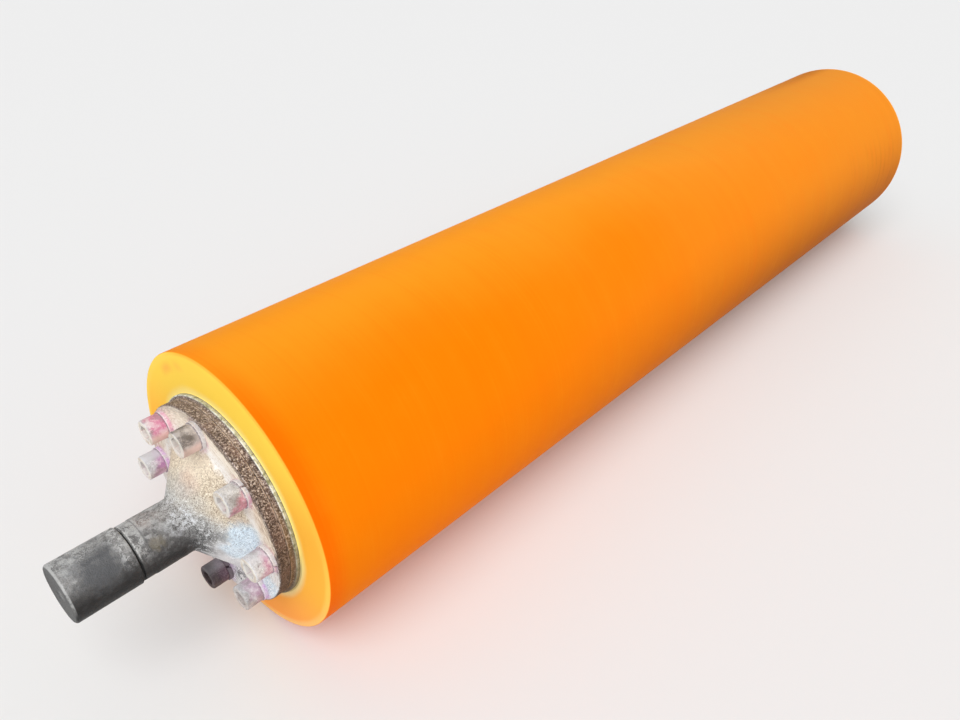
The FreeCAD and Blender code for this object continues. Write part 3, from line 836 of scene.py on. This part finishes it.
def screwFinish():
    look = screwLook
    material, place, u = startFinish("stainedScrewSteel", look["gloss"], "place", "u")
    dyed, hue, tone, under, cap, bounce, frost, away, below = stored(
        place, "stain", "hue", "tone", "under", "cap", "bounce", "frost", "away", "below")
    fine = grain(place, 0.0008, 2.0, 0.6)
    speck = grain(place, 0.0016, 3.0, 0.7)
    patch = grain(place, 0.006, 3.0, 0.6, 9.0)
    blotch = grain(place, 0.0075, 2.0, 0.5, 12.0)
    mottle = fine * 0.35 + speck * 0.35 + patch * 0.3
    up = (u - look["seat"] * mm) / (look["height"] * mm)    # 0 at the washer, 1 at the top of the head
    brown, purple, pale = (ramp(mottle, look[kind + "Stops"]) for kind in ("brown", "purple", "pale"))
    # the lower side of each head a little darker: painted shade
    colour = over(tone - below * 0.12, pale, over(hue.rise(0.3, 0.7), purple, brown))
    dye = over(hue, look["magentaColour"], look["roseColour"])
    dye = coat(dye, speck.rise(0.48, 0.66), look["dyeSpecks"])
    reach = up.stir(patch, 1.1) - below * under * 0.55 - (dyed - 0.6) * 0.5
    reach = reach - below.least(0.0) * under * 0.5
    colour = over(dyed * reach.rise(0.85, 0.25) * tone.rise(-0.05, 0.25) * 0.85, dye, colour)
    uneven = tone.near(0.24, 0.12)    # the one screw that is half dark and half powdered
    half = blotch - up * 0.08
    colour = coats(colour, look, {
        "paleBlotch": blotch.rise(0.54, 0.64) * tone.rise(0.1, 0.4),
        "darkBlotch": blotch.rise(0.48, 0.38),
        "darkHalf": uneven * half.rise(0.46, 0.38),
        "paleHalf": uneven * half.rise(0.48, 0.58),
        "skirt": (up + below * -0.3).rise(0.6, 0.1) * tone.rise(0.6, 0.3) * tone.rise(0.1, 0.3)})
    # bluish dust and a painted highlight along the upper side
    colour = over(below.rise(-0.68, -0.96) * frost, over(speck, *look["frostColours"]), colour)
    colour = coats(colour, look, {
        # painted light bounced from the hub onto the lower side
        "bounceLight": below.rise(-0.35, 0.15) * bounce,
        "darkTop": up.rise(0.15, 0.9) * tone.rise(0.35, 0.0)})
    cream = coat(look["creamColour"], patch.rise(0.46, 0.62), look["creamStain"])
    colour = over(up.rise(0.975, 0.995) * cap * (0.7 + 0.3 * patch.rise(0.35, 0.6)), cream, colour)
    socket = away.rise(0.006, 0.0055) * up.rise(0.3, 0.5)
    colour = over(socket * cap * 0.9, over(speck, *look["socketColours"]), colour)
    return endFinish(material, {
        "Base Color": colour, "Roughness": 0.5 + speck * 0.3, "Metallic": (1 - tone) * 0.2 + 0.05,
        "Normal": bump(mottle, look["pitDepth"])})


def spread(piece, look):
    # one shape, turned on its own axis, to every place on the screw circle of both ends
    circle = screwLook["circle"] / 2 * mm
    first = math.radians(screwLook["firstAngle"])
    runTree(piece, circleTree, {
        "Count": screwLook["count"], "Circle Radius": circle, "First Angle": first,
        "Turn Step": math.radians(look["turnStep"]), "Reach": (coverLook["length"] / 2 + look["seat"]) * mm,
        "Finish": piece.data.materials[0]})
    layers = {label: [] for label in (*screwLook["marks"], "away", "below")}
    for vertex, number in zip(piece.data.vertices, piece.data.attributes["number"].data):
        n = round(number.value) % screwLook["count"]
        angle = first + math.tau * n / screwLook["count"]
        middle = Vector((math.cos(angle) * (1 if vertex.co.x > 0 else -1), math.sin(angle)))
        offset = vertex.co.yz - middle * circle
        layers["away"].append(offset.length)
        layers["below"].append(-offset.y / (screwLook["head"] / 2 * mm))
        for label, values in screwLook["marks"].items():
            layers[label].append(values[n])
    for label, values in layers.items():
        piece.data.attributes.new(label, "FLOAT", "POINT").data.foreach_set("value", values)


def numbered(kind):    # the nodes of one kind of fastener at both ends
    return [f"{end}_{kind}_{n + 1}" for end in ("near", "far") for n in range(screwLook["count"])]


def makeScrews():
    look = screwLook
    thread, head, socket = halves(look, "thread", "head", "socket")
    tip = -look["length"]
    height = look["height"]
    floor = height - look["socketDepth"]
    corner = socket / math.cos(math.pi / 6)
    mouth = corner + look["mouth"] * look["mouthSpread"]
    point = socket / math.tan(math.radians(look["drillHalfAngle"]))
    rows = outlineRows([
        (tip, 0), (tip, thread - look["tipChamfer"]), (tip + look["tipChamfer"], thread), (0, thread),
        (0, head, look["headFillet"]), (height, head, look["edge"]), (height, mouth),
        (height - look["mouth"], corner), (floor, corner), (floor - point, 0)], look["step"])
    piece = turnPiece("cap_screws", rows, screwFinish(), look, sharp=look["sharp"],
                      rough=lambda x, r: 1.0 if x > 0.5 and r > corner + 1 else 0.0,
                      sixSided=lambda x, r: 1.0 if floor - 0.1 < x and r < mouth + 0.01 else 0.0)
    spread(piece, look)
    ontoFrame(piece, "screw_steel", *numbered("cap_screw"))


washerLook = {
    "inner": 12.4, "outer": 19.5, "thickness": 3.0, "edge": 0.35, "gap": 1.4, "slant": 20, "turnStep": 67,
    "seat": 14, "columns": 72, "step": 2.0, "dentDepth": 0.12, "dentSize": 2, "gloss": 0.35,
    "pitDepth": 0.0004,
    "roseColour": (0.76, 0.42, 0.52), "lilacColour": (0.7, 0.46, 0.74), "greyColour": (0.66, 0.62, 0.61),
    "chalk": (0.7, (0.84, 0.84, 0.85)), "paleSpecks": (0.7, (0.9, 0.88, 0.88)),
    "darkSpecks": (0.6, (0.2, 0.14, 0.15)), "edgeWear": (0.55, (0.92, 0.88, 0.88)),
    "shadow": (0.7, (0.16, 0.1, 0.12)), "darkRing": (0.93, (0.12, 0.085, 0.105))}


def washerFinish():
    look = washerLook
    material, place, u = startFinish("stainedWasherSteel", look["gloss"], "place", "u")
    hue, tone, ring, below = stored(place, "hue", "tone", "ring", "below")
    speck = grain(place, 0.0013, 3.0, 0.7)
    patch = grain(place, 0.008, 3.0, 0.6, 4.0)
    dye = over(hue.rise(0.2, 0.6), look["lilacColour"], look["roseColour"])
    colour = over((patch + (ring - 0.6) * 0.5 + below * 0.1).rise(0.42, 0.6), dye, look["greyColour"])
    colour = coats(colour, look, {
        "chalk": (patch + (ring - 0.6) * 0.3 - below * 0.15).rise(0.48, 0.34),
        "paleSpecks": speck.rise(0.52, 0.66),
        "darkSpecks": (1 - speck).rise(0.56, 0.7),
        "edgeWear": (u - 0.0152).maths("ABSOLUTE").rise(0.0009, 0.0013),
        "shadow": u.rise(0.0166, 0.0169) * speck.rise(0.4, 0.5),
        "darkRing": tone.rise(0.3, 0.0)})
    return endFinish(material, {
        "Base Color": colour, "Roughness": 0.5 + speck * 0.25, "Metallic": patch * 0.15,
        "Normal": bump(speck, look["pitDepth"])})


def makeWashers():
    look = washerLook
    inner, outer = halves(look, "inner", "outer")
    thick = look["thickness"]
    edge = look["edge"]
    slant = math.radians(look["slant"])
    middle = (inner + outer) / 2
    gap = look["gap"] / math.cos(slant) / middle
    rows = outlineRows([(0, inner, edge), (0, outer, edge), (thick, outer, edge), (thick, inner, edge)],
                       look["step"], closed=True)
    piece = turnPiece("lock_washers", rows, washerFinish(), look, rough=lambda x, r: 1.0,
                      sweep=math.tau - gap, slant=math.tan(slant) / (middle * mm), caps=True)
    spread(piece, look)
    ontoFrame(piece, "washer_steel", *numbered("lock_washer"))


hiddenLook = {
    "steelColour": (0.2, 0.2, 0.21), "scaleColour": (0.1, 0.09, 0.085), "weldColour": (0.34, 0.33, 0.32),
    "darker": 0.8, "tubeRipple": 0.002, "weldRipple": 0.0012, "gloss": 0.5, "depth": 0.0003}


def hiddenFinish(name, colour, ripple):
    look = hiddenLook
    material, place, x = startFinish(name, look["gloss"], "place", "x")
    speck = grain(place, 0.003, 4.0, 0.6)
    cloud = grain(place, 0.05, 3.0)
    steel = over(cloud, colour, tuple(part * look["darker"] for part in colour))
    return endFinish(material, {
        "Base Color": over((speck * 0.5 + cloud * 0.5).rise(0.42, 0.62), look["scaleColour"], steel),
        "Roughness": 0.45 + speck * 0.3, "Metallic": 0.9 - cloud * 0.3,
        "Normal": bump(rings(x, ripple) * 0.6 + speck * 0.4, look["depth"])})


def finishHiddenSteel():
    look = hiddenLook
    tube = hiddenFinish("tubeScale", look["steelColour"], look["tubeRipple"])
    weld = hiddenFinish("turnedWeld", look["weldColour"], look["weldRipple"])
    for name, finish in (("core_tube", tube), ("near_end_weld", weld), ("far_end_weld", weld)):
        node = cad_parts[name]
        node.data.materials.clear()
        node.data.materials.append(finish)
    print("hidden steel finished")


makeCover()
makeDiscs()
makeJournals()
makeScrews()
makeWashers()
finishHiddenSteel()


# Studio: a pale floor, a backdrop as bright, an even sky and one broad soft light from the upper left

studioLook = {
    "floorColour": (0.8, 0.8, 0.8), "floorRoughness": 0.9, "floorGloss": 0.1, "reach": 40, "backdrop": 0.866,
    "sky": 0.5, "lightFrom": (-0.55, -0.4, 0.8), "lightAngle": 60, "lightStrength": 2.4,
    "cameraPlace": (-0.66016, -0.39323, 0.37443), "cameraAzimuth": -47.28, "cameraElevation": 33.73,
    "lens": 29.81, "sensor": 36, "nearest": 0.01}


def plainMaterial(name, values):
    material = bpy.data.materials.new(name)
    material.use_nodes = True
    for label, value in values.items():
        material.node_tree.nodes["Principled BSDF"].inputs[label].default_value = value
    return material


def makeFloor(look):
    reach = look["reach"]
    low = cadBox[0][2]
    mesh = bpy.data.meshes.new("floor")
    corners = [(-reach, -reach, low), (reach, -reach, low), (reach, reach, low), (-reach, reach, low)]
    mesh.from_pydata(corners, [], [(0, 1, 2, 3)])
    floor = addToScene("floor", mesh)
    mesh.materials.append(plainMaterial("paleFloor", {
        "Base Color": (*look["floorColour"], 1), "Roughness": look["floorRoughness"],
        "Specular IOR Level": look["floorGloss"]}))


def makeBackdrop(look):    # seen by the camera only
    dome = bmesh.new()
    bmesh.ops.create_uvsphere(dome, u_segments=64, v_segments=32, radius=look["reach"])
    wall = bpy.data.meshes.new("backdrop")
    dome.to_mesh(wall)
    dome.free()
    wall.materials.append(plainMaterial("paleBackdrop", {
        "Base Color": (0, 0, 0, 1), "Specular IOR Level": 0, "Emission Color": (1, 1, 1, 1),
        "Emission Strength": look["backdrop"]}))
    backdrop = addToScene("backdrop", wall)
    for kind in ("diffuse", "glossy", "transmission", "shadow"):
        setattr(backdrop, "visible_" + kind, False)


def makeStudio():
    look = studioLook
    makeFloor(look)
    makeBackdrop(look)
    scene = bpy.context.scene
    scene.world = bpy.data.worlds.new("sky")
    scene.world.use_nodes = True
    sky = scene.world.node_tree.nodes["Background"]
    sky.inputs["Color"].default_value = (1.0, 1.0, 1.0, 1)
    sky.inputs["Strength"].default_value = look["sky"]
    light = bpy.data.lights.new("softLight", "SUN")
    light.angle = math.radians(look["lightAngle"])
    light.energy = look["lightStrength"]
    lamp = addToScene("softLight", light)
    lamp.rotation_euler = Vector(look["lightFrom"]).to_track_quat("Z", "Y").to_euler()
    lens = bpy.data.cameras.new("camera")
    lens.sensor_width = look["sensor"]
    lens.sensor_fit = "HORIZONTAL"
    lens.lens = look["lens"]
    lens.clip_start = look["nearest"]
    lens.clip_end = 3 * look["reach"]
    camera = addToScene("camera", lens)
    camera.location = look["cameraPlace"]
    tilt = math.radians(90 - look["cameraElevation"])
    camera.rotation_euler = (tilt, 0, math.radians(look["cameraAzimuth"]))
    scene.camera = camera
    scene.view_settings.view_transform = "Standard"
    print("studio ready")


makeStudio()
bpy.context.view_layer.update()
